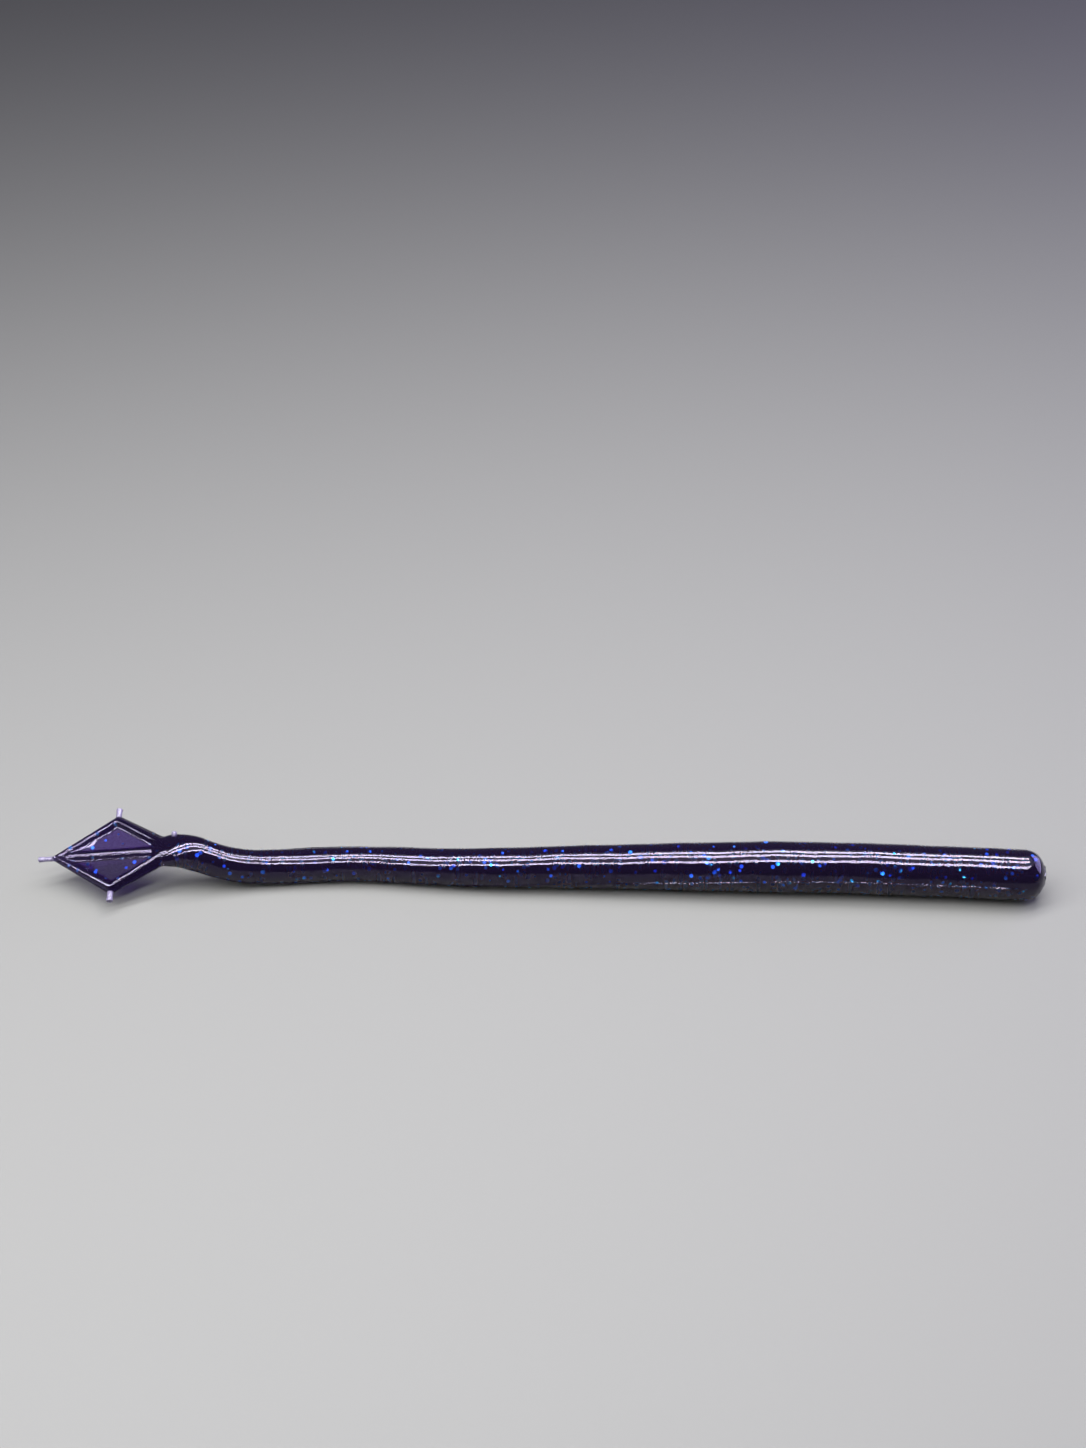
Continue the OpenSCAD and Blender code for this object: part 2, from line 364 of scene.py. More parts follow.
def tube_faces(count, columns):
    """The faces of a tube of count rings: quads along it, then its two caps."""
    faces = []
    for i in range(count - 1):
        for k in range(columns):
            m = (k + 1) % columns
            a, b = i * columns, (i + 1) * columns
            faces.append((a + k, a + m, b + m, b + k))
    faces.append(tuple(range(columns))[::-1])
    faces.append(tuple(range((count - 1) * columns, count * columns)))
    return faces


def skin_tube(name, ring_points, hide_first_cap, hide_last_cap):
    """A closed tube through rings of points, smooth along its sides and sharp at its caps."""
    count, columns = ring_points.shape[:2]
    faces = tube_faces(count, columns)
    obj = new_object(name, ring_points.reshape(-1, 3), faces)
    mesh = obj.data
    smooth = np.ones(len(faces), bool)
    smooth[-2:] = False
    mesh.polygons.foreach_set("use_smooth", smooth)
    hidden = mesh.attributes.new("hidden_cap", "FLOAT", "FACE")
    hidden.data[len(faces) - 2].value = 1.0 if hide_first_cap else 0.0
    hidden.data[len(faces) - 1].value = 1.0 if hide_last_cap else 0.0
    cap_vertices = set(range(columns)) | set(range((count - 1) * columns, count * columns))
    sharp = mesh.attributes.new("sharp_edge", "BOOLEAN", "EDGE")
    for edge in mesh.edges:
        a, b = edge.vertices
        sharp.data[edge.index].value = a in cap_vertices and b in cap_vertices
    return obj


print("a tube of 3 rings of 4 points has", len(tube_faces(3, 4)), "faces")

# %% [markdown]
# ## The paddle
# The tail is a flat diamond: a raised rim round a thin web, with a round rib down its middle.
# Seen across, its upper half is a height over the parting plane, and every feature is a simple
# height of its own: the rim is two slopes and a crown, the rib and the neck are half circles.
# Taking the greatest of them with a soft maximum gives small fillets where they meet, as in a
# real mould. Joining solids with booleans would leave sharp corners instead.

# %% Paddle sizes, as in the CAD model
PADDLE_START, PADDLE_L, PADDLE_W, WIDE_AT = -1.9, 23.3, 14.9, 12.6
CREST_RUN, SLOPE_RUN = 0.3, 0.6
CROWN_R, PEAK_OVER_CREST = 1.2, 0.5
WEB_T, LAND_T = 0.7, 0.3
RIB_R, RIB_STOP = 0.95, 2.1
ROOT_STRAIGHT, NECK_END_L = 1.1, 3.6
# How wide the rim's outer slope is and how high its crest stands, at front, widest place and tip
station_x = [0, WIDE_AT, PADDLE_L]
crest_heights = [1.5, 1.0, 0.7]
flare_widths = [1.5, 0.95, 0.4]
front_slope = PADDLE_W / 2 / WIDE_AT
rear_slope = PADDLE_W / 2 / (PADDLE_L - WIDE_AT)
print("diamond half angles:", round(math.degrees(math.atan(front_slope)), 1),
      round(math.degrees(math.atan(rear_slope)), 1))

# %% [markdown]
# The round neck is pressed flat as it runs into the paddle. Its half height over the middle
# plane falls from a full circle's to the paddle's own, so a few values behind the last bend,
# smoothed, describe it. The glitter uses the same values further down, to stay inside.

# %% How the neck flattens
FLATTEN_SMOOTHING = 17
neck_places = [-2.4, -1.2, 0, 1.3, 2.5, 4, 5]
neck_heights = [2.8, 2.66, 2.2, 1.75, 1.4, 1.0, 0]
flatten_at = np.arange(-5, 8, 0.1)
flatten = smoothed(np.interp(flatten_at, neck_places, neck_heights), FLATTEN_SMOOTHING)
print("neck half height at the last bend, mm:", round(float(np.interp(0, flatten_at, flatten)), 2))

# %% [markdown]
# The features' heights need three small tools: a maximum that leaves a fillet, a half-round
# bar, and a bar's rounded end.

# %% Height helpers
# Outside its outline a shape falls off this steeply, or is given a height no surface reaches
FALL_OFF, ABSENT = 3, -1


def soft_max(a, b, k):
    """The greater of two heights, with a fillet about as wide as k."""
    h = np.maximum(k - np.abs(a - b), 0) / k
    return np.maximum(a, b) + h * h * k / 4


def half_bar(r, across):
    """Height of a half-round bar of radius r, falling off outside it."""
    inside = r * r - across * across
    return np.where(inside > 0, np.sqrt(np.maximum(inside, 0)), -FALL_OFF * (np.abs(across) - r))


def round_end_radius(x, r, start, length):
    """Radius at x of a bar that rounds off from start over a length."""
    into = np.clip((x - start) / length, 0, 1)
    return r * np.sqrt(1 - into**2)


def kite_half_width(x):
    """Half the diamond's width at x behind its front corner."""
    return np.minimum(front_slope * x, rear_slope * (PADDLE_L - x))


print("half width at the widest place:", kite_half_width(WIDE_AT).round(2))

# %% [markdown]
# The rim is what catches the light. Its two slopes would meet in a sharp ridge, and the real
# one is worn round by the mould's cutter, so a shallow crown is laid over the ridge: a broad
# curve gives a highlight line of some width, where an edge would give none.

# %% Surface of the paddle
ROOF_FILLET, CROWN_FILLET, WEB_FILLET = 0.1, 0.15, 0.2
RIB_FILLET, NECK_FILLET = 0.15, 0.4
THINNEST = 0.05


def rim_and_web_height(x, across):
    """Height of the diamond without its rib. x is 0 at the diamond's front."""
    flare = np.interp(x, station_x, flare_widths)
    crest = np.interp(x, station_x, crest_heights)
    from_front = (front_slope * x - np.abs(across)) / math.hypot(1, front_slope)
    from_rear = (rear_slope * (PADDLE_L - x) - np.abs(across)) / math.hypot(1, rear_slope)
    inset = np.minimum(from_front, from_rear)
    peak, middle = crest + PEAK_OVER_CREST, flare + CREST_RUN / 2
    outer = LAND_T / 2 + (peak - LAND_T / 2) * inset / middle
    inner = peak - (peak - WEB_T / 2) * (inset - middle) / (CREST_RUN / 2 + SLOPE_RUN)
    crown = crest - (inset - middle) ** 2 / (2 * CROWN_R)
    roof = -soft_max(-outer, -inner, ROOF_FILLET)
    rim = -soft_max(-roof, -crown, CROWN_FILLET)
    rim = np.where(inset < 0, LAND_T / 2 + FALL_OFF * inset, rim)
    web = np.where(inset > flare, WEB_T / 2, ABSENT)
    return soft_max(rim, web, WEB_FILLET)


def paddle_height(x, across, neck_r):
    """Height of the paddle's whole surface over its middle plane."""
    rib_end = PADDLE_L - RIB_STOP
    rib = half_bar(round_end_radius(x, RIB_R, rib_end - RIB_R, RIB_R), across)
    surface = soft_max(rim_and_web_height(x, across), np.where(x < rib_end, rib, ABSENT), RIB_FILLET)
    root_start = ROOT_STRAIGHT - PADDLE_START
    root_half = np.maximum(round_end_radius(x, neck_r, root_start, NECK_END_L), THINNEST)
    root = half_bar(1, across / root_half) * np.interp(x + PADDLE_START, flatten_at, flatten)
    return soft_max(surface, np.where(x < root_start + NECK_END_L, root, ABSENT), NECK_FILLET)


print("heights across the widest place, edge to middle:",
      paddle_height(WIDE_AT, np.linspace(PADDLE_W / 2, 0, 8), NECK_R).round(2))

# %% [markdown]
# Rings are laid across the paddle as on the body, and each ring has the same number of points.
# If they were spread evenly, the rim's crest would run zigzag between them, so lines of points
# follow the crest and the rib: `RIM_LINES` in from the edge and `RIB_LINES` out from the middle.
# Over the neck the points slide from the round body's places to these.

# %% Points across the paddle
RIM_LINES = [0, .03, .07, .13, *np.linspace(.2, 1.9, 24), 2.05, 2.2, 2.4]
RIB_LINES = [1.35, 1.15, 1, .93, .85, .75, .6, .42, .2, 0]
OUTLINE_FILLET, WEB_GAP, NARROWEST = 0.5, 0.4, 0.03
# Behind the diamond's front, where round spacing gives way to lines, and where the land widens
SETTLE_FROM, SETTLE_TO = 2.4, 6.0
LAND_FROM, LAND_TO = 1, 4
# Behind the last bend, where the body's section gives way to the paddle's
FADE_FROM, FADE_TO = -3.0, -1.0


def points_across(x, half_width):
    """Places across the paddle of one half ring's points, from one edge to the other."""
    flare_scale = np.interp(x, station_x, flare_widths) / flare_widths[1]
    rim_lines = np.array(RIM_LINES) * flare_scale * math.hypot(1, front_slope)
    rib_lines = np.broadcast_to(np.array(RIB_LINES), (len(x), len(RIB_LINES)))
    squeeze = np.minimum(1, half_width / (rim_lines[:, -1:] + RIB_LINES[0] + WEB_GAP))
    quarter = np.concatenate([half_width - rim_lines * squeeze, rib_lines * squeeze], 1)
    diamond = np.concatenate([quarter, -quarter[:, -2::-1]], 1)
    circle = half_width * np.cos(ROUND_ANGLES)
    return circle + (diamond - circle) * smooth_step(x, SETTLE_FROM, SETTLE_TO)


def paddle_half(s, side):
    """Across and height of the points of one half of the neck and paddle's rings."""
    place, _ = along(s)
    behind = ((place - bends[-1]) @ paddle_back)[:, None]
    x = behind - PADDLE_START
    neck_r = float(body_radius(np.array([bend_s[-1]]))[0])
    bar_r = round_end_radius(behind, neck_r, ROOT_STRAIGHT, NECK_END_L)
    half_width = soft_max(bar_r, np.maximum(kite_half_width(x), NARROWEST), OUTLINE_FILLET)
    across = points_across(x, np.where(x < 0, neck_r, half_width))
    land = LAND_H / 2 + (LAND_T - LAND_H) / 2 * smooth_step(x, LAND_FROM, LAND_TO)
    height = np.maximum(paddle_height(x, across, neck_r), land)
    neck = np.sqrt(np.maximum(neck_r**2 - across**2, 0)) / neck_r * np.interp(behind, flatten_at, flatten)
    height = np.where(behind < 0, np.maximum(neck, LAND_H / 2), height)
    round_across, round_height = round_half(s, side)
    fade_in = smooth_step(behind, FADE_FROM, FADE_TO)
    return (round_across + (across - round_across) * fade_in,
            round_height + (side * height - round_height) * fade_in)


assert len(RIM_LINES) + len(RIB_LINES) == HALF_COLUMNS // 2 + 1
print("lines of points across half the paddle:", len(RIM_LINES) + len(RIB_LINES))

# %% [markdown]
# ## Where the skin is cut
# A piece can follow only one hinge, so the skin has one piece for each bend. It runs from the
# middle of the section ahead to the middle of the section behind, where nothing bends, and
# there it meets the next piece exactly. Rings lie closer together over the dome and the paddle,
# and one lies exactly at the diamond's widest place and one at its tip.

# %% Ring distances
RING_STEP, NECK_RING_STEP = 0.5, 0.35
DOME_RINGS, FORE_RINGS, AFT_RINGS = 14, 78, 66
OVERLAP = 0.003
bend_count = len(bends)
cuts = [GATE_H] + [(bend_s[i] + bend_s[i + 1]) / 2 for i in range(bend_count - 1)]


def paddle_s(x):
    """Distance from the nose of the place x behind the diamond's front corner."""
    return np.interp(PADDLE_START + x, (line - bends[-1]) @ paddle_back, line_s)


def ring_distances(i):
    """Distances from the nose of the rings of skin piece i."""
    first = cuts[i] - (OVERLAP if i else 0)
    if i == bend_count - 1:
        neck = np.arange(first, bend_s[-1], NECK_RING_STEP)
        fore = np.linspace(bend_s[-1], paddle_s(WIDE_AT), FORE_RINGS)
        aft = np.linspace(paddle_s(WIDE_AT), paddle_s(PADDLE_L), AFT_RINGS)[1:]
        return np.concatenate([neck, fore, aft])
    last = cuts[i + 1] + OVERLAP
    if i == 0:
        dome = GATE_H + DOME_L * (1 - np.cos(np.linspace(0, np.pi / 2, DOME_RINGS)))
        return np.concatenate([dome, np.arange(dome[-1] + RING_STEP, last, RING_STEP), [last]])
    return np.linspace(first, last, int((last - first) / RING_STEP) + 2)


print("cuts at, mm from the nose:", np.round(cuts, 1))

# %% [markdown]
# ## Making the skin

# %% Skin pieces
body_names = [frame["joints"][0]["parent"]] + [j["child"] for j in frame["joints"]]


def flex(piece):
    """Bakes the piece's transform into its mesh."""
    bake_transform(piece)


skin = []
for i in range(bend_count):
    last_piece = i == bend_count - 1
    name = "skin_neck_and_paddle" if last_piece else "skin_nose" if i == 0 else f"skin_body_{i}"
    points = rings(ring_distances(i), paddle_half if last_piece else round_half)
    piece = skin_tube(name, points, i > 0, not last_piece)
    flex(piece)
    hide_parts("nose" if i == 0 else f"section_{i}")
    skin.append(piece)
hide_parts("paddle_root", "paddle_rim", "paddle_rib", "web_near", "web_far")
print("skin pieces:", [o.name for o in skin])

# %% [markdown]
# ## Mould marks
# Where the plastic went in, the worm was torn off its sprue, which leaves a ragged disc on the
# nose. Air left through small vents at the paddle's corners, and plastic followed it, so each
# corner carries a little nub with a dimpled end. One bead of plastic stands on the neck. All of
# them are round, so one function turns a profile about an axis, as a lathe would. A Screw
# modifier could do it too, but torn plastic also needs each point moved a little at random.

# %% Turned shapes
# How far from the base tearing is at full strength, and its share in radius and in depth
TEAR_FROM_BASE = 0.2
RADIUS_SHARE, DEPTH_SHARE = 0.6, 0.5
# A direction that is never parallel to a mark's axis, to measure angles from
MARK_SIDE = [0.3, 0.2, 0.93]


def turned_shape(name, base, direction, profile, columns=28, ragged=0.0, seed=1):
    """A shape turned about a direction from [radius, distance] points, ragged if asked."""
    draw = np.random.RandomState(seed)
    direction = np.asarray(direction, float) / np.linalg.norm(direction)
    side = np.cross(direction, MARK_SIDE)
    side /= np.linalg.norm(side)
    other = np.cross(direction, side)
    angle = 2 * np.pi * np.arange(columns) / columns
    points = []
    for r, d in profile:
        rough = ragged * draw.normal(size=(columns, 2)) * min(1, max(d, 0) / TEAR_FROM_BASE)
        radius = r * (1 + rough[:, 0] * RADIUS_SHARE)
        depth = d + rough[:, 1] * DEPTH_SHARE
        points.append(np.asarray(base) + depth[:, None] * direction
                      + (radius * np.cos(angle))[:, None] * side
                      + (radius * np.sin(angle))[:, None] * other)
    faces = tube_faces(len(profile), columns)
    obj = new_object(name, np.vstack(points), faces)
    obj.data.polygons.foreach_set("use_smooth", [True] * len(faces))
    return obj


marks = []
print("tearing is at full strength from, mm:", TEAR_FROM_BASE)

# %% [markdown]
# The gate scar is a low disc whose end goes up and down where the plastic tore. It starts just
# inside the nose's flat and rides stiffly on it.

# %% Gate scar
SCAR_SUNK, SCAR_COLUMNS, SCAR_RAGGED = 0.05, 40, 0.12
# Radius as a share of the gate's, and distance out from the base
SCAR_OUTLINE = [(.97, 0), (1, .08), (1, .16), (.97, .24), (.9, .29), (.8, .22), (.7, .3), (.6, .2),
                (.5, .27), (.38, .18), (.26, .24), (.14, .17), (.04, .2)]
gate_base = nose_tip + nose_direction * (GATE_H + SCAR_SUNK)
scar_profile = [(GATE_R * share, d) for share, d in SCAR_OUTLINE]
scar = turned_shape("gate_scar_torn", gate_base, -nose_direction, scar_profile, SCAR_COLUMNS, SCAR_RAGGED, 5)
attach(scar, body_names[0])
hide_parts("gate_scar")
marks.append(scar)
print("gate scar across, mm:", 2 * GATE_R)

# %% [markdown]
# The vent nubs stand straight out of the paddle's three free corners. Each is a short bar with
# a swollen end, where the last of the plastic stopped and sank a little as it cooled.

# %% Vent nubs
NUB_ROOT, NUB_COLUMNS, NUB_RAGGED = 0.5, 24, 0.02
# Radius as a share of the nub's, and distance out as a share of its length, past the root
NUB_OUTLINE = [(.84, .45), (.95, .7), (1, .82), (.98, .92), (.86, .985), (.7, 1),
               (.52, .97), (.34, .9), (.1, .87)]
paddle_front = bends[-1] + PADDLE_START * paddle_back
near_edge = paddle_turn @ np.array([0, -1, 0])
widest = paddle_front + WIDE_AT * paddle_back


def nub_profile(d, length):
    """A vent nub: a short bar with a swollen, dimpled end. It starts inside the rim."""
    r = d / 2
    return [(r * .9, -NUB_ROOT), (r * .9, .15)] + [(r * share, length * out) for share, out in NUB_OUTLINE]


nubs = [("nub_tip", paddle_front + PADDLE_L * paddle_back, paddle_back, 0.9, 2.1),
        ("nub_near", widest + PADDLE_W / 2 * near_edge, near_edge, 1.1, 1.3),
        ("nub_far", widest - PADDLE_W / 2 * near_edge, -near_edge, 1.1, 1.3)]
for name, base, direction, d, length in nubs:
    nub = turned_shape(f"{name}_cast", base, direction, nub_profile(d, length), NUB_COLUMNS, NUB_RAGGED, 7)
    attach(nub, body_names[-1])
    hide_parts(name)
    marks.append(nub)
print("nubs stand out, mm:", [length for *_, length in nubs])

# %% [markdown]
# The bead on the neck is a drop that flashed out of the mould's joint. It sits where the plastic
# bends.

# %% Neck bead
BEAD_LEAN = math.radians(60)
BEAD_SUNK, BEAD_COLUMNS, BEAD_RAGGED = 0.15, 20, 0.03
BEAD_PROFILE = [(.42, -.4), (.45, .2), (.42, .36), (.33, .5), (.2, .58), (.06, .61)]
bead_direction = paddle_turn @ np.array([0, math.sin(BEAD_LEAN), math.cos(BEAD_LEAN)])
bead_base = bends[-1] + ROOT_STRAIGHT / 2 * paddle_back + (NECK_R - BEAD_SUNK) * bead_direction
bead = turned_shape("neck_bead_cast", bead_base, bead_direction, BEAD_PROFILE, BEAD_COLUMNS, BEAD_RAGGED, 9)
flex(bead)
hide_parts("neck_bead")
marks.append(bead)
print("mould marks:", [o.name for o in marks])

# %% [markdown]
# ## Glitter
# The flakes are hexagons punched from blue metallised film, 0.35 to 0.8 mm across and 0.05 mm
# thick. They were stirred into the liquid plastic, so they lie at every depth, and the flow
# turned most of them roughly along the surface. They could be painted on as dots, but real
# flakes at real depths dim with depth and flash as the view turns, so each one is built.

# %% A flake
FLAKE_T = 0.05
FLAKE_SIDE = [0.31, 0.52, 0.79]


def flake_meshes(name, centres, normals, sizes, spins):
    """Thin hexagonal plates, all in one mesh object."""
    points, faces = [], []
    hexagon = np.pi / 3 * np.arange(6)
    for centre, normal, size, spin in zip(centres, normals, sizes, spins):
        normal = normal / np.linalg.norm(normal)
        side = np.cross(normal, FLAKE_SIDE)
        side /= np.linalg.norm(side)
        other = np.cross(normal, side)
        start = len(points)
        for level in (-1, 1):
            for a in hexagon + spin:
                points.append(centre + size / 2 * (math.cos(a) * side + math.sin(a) * other)
                              + level * FLAKE_T / 2 * normal)
        faces.append(tuple(start + k for k in range(6))[::-1])
        faces.append(tuple(start + 6 + k for k in range(6)))
        for k in range(6):
            m = (k + 1) % 6
            faces.append((start + k, start + m, start + 6 + m, start + 6 + k))
    return new_object(name, points, faces)


print("flake thickness, mm:", FLAKE_T)

# %% [markdown]
# About half the flakes are drawn near the surface, where they can be seen, and the rest at every
# depth. A few lie right at the surface, flat against it. In the flattened neck their heights are
# pressed down with it, or they would float outside the plastic.

# %% Flakes in the body
FLAKES_PER_MM3 = 0.2
FLAKE_SIZES = 0.35, 0.78
NEAR_SHARE, NEAR_DEPTHS = 0.55, (0.02, 0.4)
DEEPEST_SHARE = 0.95
COVER, PROUD_COVER = 0.1, 0.01
PROUD_SHARE, PROUD_SCALE = 0.04, 0.6
LEAN, PROUD_LEAN = 0.3, 0.02


def body_flakes(i, draw, low, high):
    """Centres, normals, sizes and spins of the flakes of piece i between two distances."""
    mean_r = float(body_radius(np.array([(low + high) / 2]))[0])
    count = int(FLAKES_PER_MM3 * math.pi * mean_r**2 * (high - low))
    s = draw.uniform(low, high, count)
    place, e_across, e_height = cross_axes(s)
    angle = draw.uniform(0, 2 * np.pi, count)
    size = draw.uniform(*FLAKE_SIZES, count)
    depth = np.where(draw.uniform(size=count) < NEAR_SHARE, draw.uniform(*NEAR_DEPTHS, count),
                     body_radius(s) * (1 - np.sqrt(draw.uniform(0, DEEPEST_SHARE, count))))
    r = body_radius(s) - COVER - depth
    proud = draw.uniform(size=count) < PROUD_SHARE
    r = np.where(proud, body_radius(s) - PROUD_COVER, r)
    behind = (place - bends[-1]) @ paddle_back
    flatness = np.interp(behind, flatten_at, flatten) / NECK_R if i == bend_count - 1 else np.ones(count)
    outward = np.cos(angle)[:, None] * e_across + (flatness * np.sin(angle))[:, None] * e_height
    lean = draw.normal(size=(count, 3)) * np.where(proud, PROUD_LEAN, LEAN)[:, None]
    size = np.where(proud, PROUD_SCALE * size, size)
    return place + r[:, None] * outward, outward + lean, size, draw.uniform(0, 1, count)


print("flakes in a cubic centimetre:", int(FLAKES_PER_MM3 * 1000))

# %% [markdown]
# The paddle is thin, so its flakes lie nearly flat in its middle plane, as they do in a web that
# was pressed between two halves of a mould.

# %% Flakes in the paddle
PADDLE_FLAKES = 26
PADDLE_MARGIN, WIDTH_SHARE = 3, 0.9
PADDLE_DEPTH, PADDLE_LEAN = 0.15, 0.12
PADDLE_FLAKE_SIZES = 0.35, 0.7


def paddle_flakes(draw):
    """Centres, normals, sizes and spins of the flakes of the paddle."""
    x = draw.uniform(PADDLE_MARGIN, PADDLE_L - PADDLE_MARGIN, PADDLE_FLAKES)
    across = draw.uniform(-WIDTH_SHARE, WIDTH_SHARE, PADDLE_FLAKES) * kite_half_width(x)
    flat = paddle_front + x[:, None] * paddle_back + across[:, None] * near_edge
    up = paddle_turn @ np.array([0, 0, 1])
    centres = flat + draw.uniform(-PADDLE_DEPTH, PADDLE_DEPTH, PADDLE_FLAKES)[:, None] * up
    normals = up + draw.normal(size=(PADDLE_FLAKES, 3)) * PADDLE_LEAN
    size = draw.uniform(*PADDLE_FLAKE_SIZES, PADDLE_FLAKES)
    return centres, normals, size, draw.uniform(0, 1, PADDLE_FLAKES)


print("flakes in the paddle:", PADDLE_FLAKES)

# %% [markdown]
# The flakes of one piece of skin are one mesh. Every piece has its own seed, so the glitter
# comes out the same each time.

# %% All the glitter
FIRST_SEED = 100
# The first flakes lie behind the dome, and the last ones a little way into the paddle
CLEAR_OF_DOME, CLEAR_OF_CUT, INTO_PADDLE = 1.2, 0.1, 1.5
glitter = []
for i in range(bend_count):
    last_piece = i == bend_count - 1
    draw = np.random.RandomState(FIRST_SEED + i)
    low = cuts[i] + (CLEAR_OF_DOME if i == 0 else CLEAR_OF_CUT)
    high = bend_s[-1] + INTO_PADDLE if last_piece else cuts[i + 1] - CLEAR_OF_CUT
    groups = [body_flakes(i, draw, low, high)]
    if last_piece:
        groups.append(paddle_flakes(draw))
    centres, normals, sizes, spins = [np.concatenate(parts) for parts in zip(*groups)]
    flakes = flake_meshes(f"glitter_{i + 1}_flakes", centres, normals, sizes, spins)
    flex(flakes)
    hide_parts("glitter_nose" if i == 0 else f"glitter_{i}")
    glitter.append(flakes)
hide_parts("glitter_paddle")
print("flakes:", sum(len(o.data.polygons) // 8 for o in glitter))

# %% [markdown]
# ## Materials
# One small helper adds a node, sets its inputs and links it, so each material below reads as a
# short list of what it is made of.

# %% Node helper


def add_node(tree, kind, settings=None, inputs=None, links=None):
    """Adds a node, with its settings, its input values, and links into its inputs."""
    node = tree.nodes.new(kind)
    for key, value in (settings or {}).items():
        setattr(node, key, value)
    for key, value in (inputs or {}).items():
        node.inputs[key].default_value = value
    for key, output in (links or {}).items():
        tree.links.new(output, node.inputs[key])
    return node


def new_material(name):
    """An empty material and its node tree."""
    material = bpy.data.materials.new(name)
    material.use_nodes = True
    material.node_tree.nodes.clear()
    return material, material.node_tree


def dress(obj, material):
    """Gives an object one material."""
    obj.data.materials.clear()
    obj.data.materials.append(material)


def grain_of(tree, size_mm, detail):
    """Noise in the object's own space, with grains of about the given size."""
    where = add_node(tree, "ShaderNodeTexCoord")
    return add_node(tree, "ShaderNodeTexNoise", inputs={"Scale": 1 / (size_mm * MM), "Detail": detail},
                    links={"Vector": where.outputs["Object"]})


def bump_from(tree, noise, strength, height_mm):
    """A bump of the given height from a noise."""
    return add_node(tree, "ShaderNodeBump", inputs={"Strength": strength, "Distance": height_mm * MM},
                    links={"Height": noise.outputs["Fac"]})


def tint_from(tree, noise, dark, light):
    """A colour that goes from one hex colour to another with a noise."""
    ramp = add_node(tree, "ShaderNodeValToRGB", links={"Fac": noise.outputs["Fac"]})
    ramp.color_ramp.elements[0].color = linear(dark)
    ramp.color_ramp.elements[1].color = linear(light)
    return ramp


PLASTISOL_IOR = 1.5
print("plastisol bends light by", PLASTISOL_IOR)

# %% [markdown]
# ### Plastisol
# Plastisol is soft PVC: clear, wet-looking, and dyed through. A dye is not a surface colour but
# an absorption, so thin places glow violet and thick ones go nearly black. Its surface copies a
# polished mould, so it is glossy, with a very fine orange peel from the shrinking plastic. The
# mass is also a little milky, and sends back about a twentieth of the light as dull purple.

# %% Clear purple plastisol
ORANGE_PEEL_MM = 0.9
MILKINESS = 0.05
DYE_DENSITY = 4200.0
plastisol, tree = new_material("clear_purple_plastisol_moulded")
peel = grain_of(tree, ORANGE_PEEL_MM, 2.0)
peel_bump = bump_from(tree, peel, 0.05, 0.02)
gloss = add_node(tree, "ShaderNodeMapRange", inputs={"To Min": 0.05, "To Max": 0.09},
                 links={"Value": peel.outputs["Fac"]})
clear_mass = add_node(tree, "ShaderNodeBsdfPrincipled",
                      inputs={"Base Color": linear("#d2cbff"), "IOR": PLASTISOL_IOR,
                              "Transmission Weight": 1.0, "Specular Tint": linear("#e6deff")},
                      links={"Roughness": gloss.outputs["Result"], "Normal": peel_bump.outputs["Normal"]})
haze = add_node(tree, "ShaderNodeBsdfDiffuse", inputs={"Color": linear("#39225e")})
milky = add_node(tree, "ShaderNodeMixShader", inputs={0: MILKINESS},
                 links={1: clear_mass.outputs[0], 2: haze.outputs[0]})
print("milkiness:", MILKINESS)

# %% [markdown]
# Two things are left: the hidden caps, where the surface is replaced by plain nothing, and the
# dye, which belongs to the volume and not to the surface.

# %% Hidden caps and dye
nothing = add_node(tree, "ShaderNodeBsdfTransparent")
cap_mark = add_node(tree, "ShaderNodeAttribute", {"attribute_name": "hidden_cap"})
surface = add_node(tree, "ShaderNodeMixShader",
                   links={0: cap_mark.outputs["Fac"], 1: milky.outputs[0], 2: nothing.outputs[0]})
dye = add_node(tree, "ShaderNodeVolumeAbsorption",
               inputs={"Color": linear("#a070c4"), "Density": DYE_DENSITY})
add_node(tree, "ShaderNodeOutputMaterial",
         links={"Surface": surface.outputs[0], "Volume": dye.outputs[0]})
for piece in skin:
    dress(piece, plastisol)
dress(scar, plastisol)
print("dressed in plastisol:", len(skin) + 1)

# %% [markdown]
# ### Thin plastisol
# The nubs and the bead are too thin for the dye to darken them, and their surface is chilled and
# torn, so they are paler, duller and grainy. The dye would give clear glass here, so they have a
# colour of their own instead.

# %% Thin torn plastisol
thin, tree = new_material("thin_plastisol_torn")
grain = grain_of(tree, 0.25, 4.0)
tint = tint_from(tree, grain, "#352e4a", "#8a82a0")
tint.color_ramp.elements[0].position, tint.color_ramp.elements[1].position = 0.3, 0.75
grain_bump = bump_from(tree, grain, 0.5, 0.05)
thin_shader = add_node(tree, "ShaderNodeBsdfPrincipled",
                       inputs={"Roughness": 0.3, "IOR": PLASTISOL_IOR, "Transmission Weight": 0.25},
                       links={"Base Color": tint.outputs["Color"], "Normal": grain_bump.outputs["Normal"]})
add_node(tree, "ShaderNodeOutputMaterial", links={"Surface": thin_shader.outputs[0]})
pale_marks = [mark for mark in marks if mark is not scar]
for mark in pale_marks:
    dress(mark, thin)
print("dressed in thin plastisol:", len(pale_marks))

# %% [markdown]
# ### Metallised film
# Glitter film is a thin metal layer under a blue lacquer. A metal takes its colour from what it
# reflects, so all it needs is a blue metal, a little rough, whose blue changes from flake to
# flake with the batch.

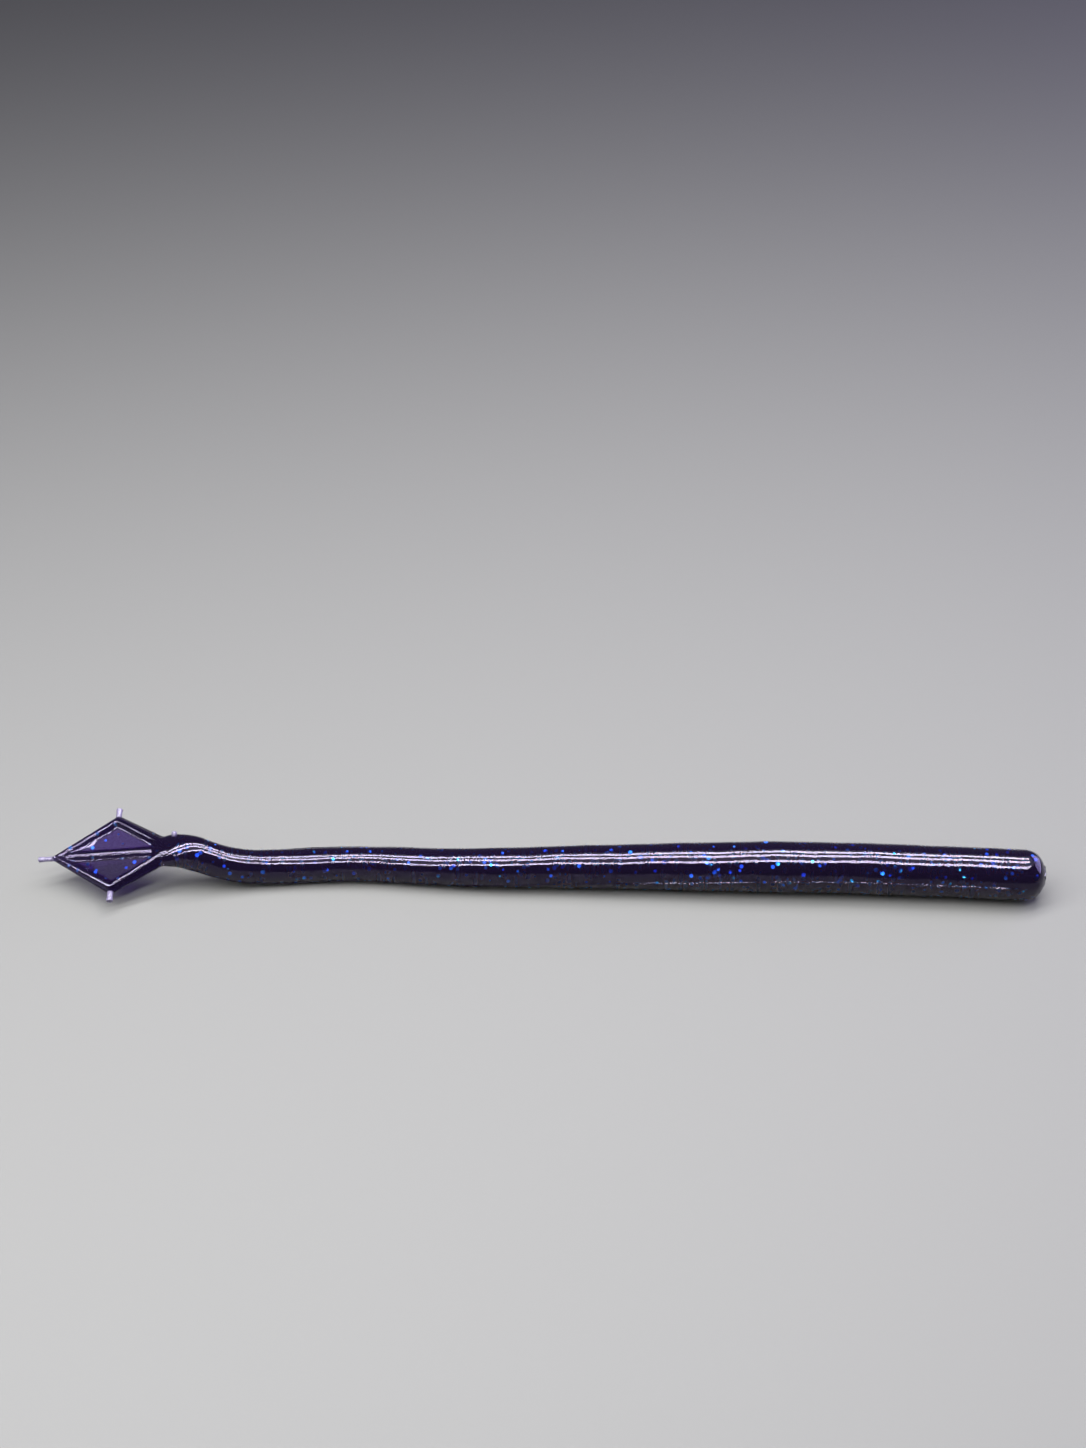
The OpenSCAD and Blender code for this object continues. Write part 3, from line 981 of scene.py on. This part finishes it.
# %% Blue metallised film
foil, tree = new_material("blue_metallised_film")
batch = grain_of(tree, 3, 1.0)
film = tint_from(tree, batch, "#1e9cff", "#4cc4ff")
film_shader = add_node(tree, "ShaderNodeBsdfPrincipled", inputs={"Metallic": 1.0, "Roughness": 0.32},
                       links={"Base Color": film.outputs["Color"]})
add_node(tree, "ShaderNodeOutputMaterial", links={"Surface": film_shader.outputs[0]})
for flakes in glitter:
    dress(flakes, foil)
print("dressed in film:", len(glitter))

# %% [markdown]
# ## Studio
# A matte pale floor, an even grey surround, and lights overhead. The floor lies a tenth of a
# millimetre low, because the smooth skin dips that far under zero height where it rests. The
# floor is only a stage, so it is not part of the worm.

# %% Floor
FLOOR_HALF, FLOOR_Z = 3, -0.0001
FLOOR_CORNERS = ((-1, -1), (1, -1), (1, 1), (-1, 1))
floor_mesh = bpy.data.meshes.new("floor")
floor_mesh.from_pydata([(x * FLOOR_HALF, y * FLOOR_HALF, FLOOR_Z) for x, y in FLOOR_CORNERS],
                       [], [(0, 1, 2, 3)])
floor = bpy.data.objects.new("floor", floor_mesh)
bpy.context.scene.collection.objects.link(floor)
matte, tree = new_material("pale_matte_board")
fibre = grain_of(tree, 0.8, 3.0)
fibre_bump = bump_from(tree, fibre, 0.2, 0.05)
board = add_node(tree, "ShaderNodeBsdfPrincipled",
                 inputs={"Base Color": linear("#5c5c5b"), "Roughness": 0.75},
                 links={"Normal": fibre_bump.outputs["Normal"]})
add_node(tree, "ShaderNodeOutputMaterial", links={"Surface": board.outputs[0]})
dress(floor, matte)
floor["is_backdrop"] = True
print("floor across, m:", 2 * FLOOR_HALF)

# %% [markdown]
# Three long strip lights draw the three white lines down the glossy body. They are long and
# narrow, run well past both ends of the worm, and are turned a little so that the lines run
# lower towards the tail. A light's power is worked out from how bright it looks, so a strip can
# change its size and still look as bright.

# %% Strip lights


def area_light(name, length, width, radiance):
    """A rectangular light of a size in millimetres that looks as bright as asked."""
    lamp = bpy.data.lights.new(name, "AREA")
    lamp.shape = "RECTANGLE"
    lamp.size, lamp.size_y = length * MM, width * MM
    lamp.energy = radiance * math.pi * length * width * MM * MM
    light = bpy.data.objects.new(name, lamp)
    bpy.context.scene.collection.objects.link(light)
    return light


STRIP_H, STRIP_W = 350, 54
STRIP_RADIANCE = 24
HEAD_X, TAIL_X = 165, -134
HEAD_PAST, TAIL_PAST = 50, 420
# Where each strip passes over the head end and the tail end of the worm, across the view
strips = [(163, 20), (43, -95), (-107, -310)]
for n, (head_y, tail_y) in enumerate(strips):
    head = np.array([HEAD_X, head_y, STRIP_H])
    tail = np.array([TAIL_X, tail_y, STRIP_H])
    run = (head - tail) / np.linalg.norm(head - tail)
    head, tail = head + HEAD_PAST * run, tail - TAIL_PAST * run
    strip = area_light(f"strip_{n + 1}", np.linalg.norm(head - tail), STRIP_W, STRIP_RADIANCE)
    middle = (head + tail) / 2
    x_axis = Vector(head - tail).normalized()
    z_axis = Vector(middle)
    z_axis = (z_axis - z_axis.dot(x_axis) * x_axis).normalized()
    y_axis = z_axis.cross(x_axis)
    matrix = strip.matrix_world.copy()
    for row in range(3):
        matrix[row][0], matrix[row][1], matrix[row][2] = x_axis[row], y_axis[row], z_axis[row]
        matrix[row][3] = middle[row] * MM
    strip.matrix_world = matrix
print("strip lights:", len(strips))

# %% [markdown]
# A wide dim light behind the strips puts a soft veil between the three lines, and a large cool
# panel off the nose draws the lavender patch on its dome.

# %% Veil and side panel
VEIL_L, VEIL_W, VEIL_RADIANCE = 900, 360, 0.9
VEIL_X, VEIL_Y, VEIL_H, VEIL_TURN = -60, -40, 380, 28
veil = area_light("veil", VEIL_L, VEIL_W, VEIL_RADIANCE)
veil.location = (VEIL_X * MM, VEIL_Y * MM, VEIL_H * MM)
veil.rotation_euler = (0, 0, math.radians(VEIL_TURN))
PANEL_W, PANEL_H, PANEL_RADIANCE = 900, 600, 5
panel = area_light("side_panel", PANEL_W, PANEL_H, PANEL_RADIANCE)
panel.data.color = linear("#cfc6ff")[:3]
panel.location = (0.8, 0.32, 0.36)
panel.rotation_euler = Vector(panel.location).to_track_quat("Z", "Y").to_euler()
print("panel stands off, m:", round(panel.location.length, 2))

# %% [markdown]
# The surround fills the shadows a little. The Standard view keeps the dye's deep purple, which a
# film-like tone curve would wash out.

# %% Surround and picture tone
SURROUND_STRENGTH = 0.15
world = bpy.data.worlds.new("surround")
bpy.context.scene.world = world
world.use_nodes = True
world.node_tree.nodes["Background"].inputs["Color"].default_value = linear("#dfe2ea")
world.node_tree.nodes["Background"].inputs["Strength"].default_value = SURROUND_STRENGTH
bpy.context.scene.view_settings.view_transform = "Standard"
print("surround strength:", SURROUND_STRENGTH)

low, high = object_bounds()
print("worm length, mm:", round((high[0] - low[0]) / MM, 1))
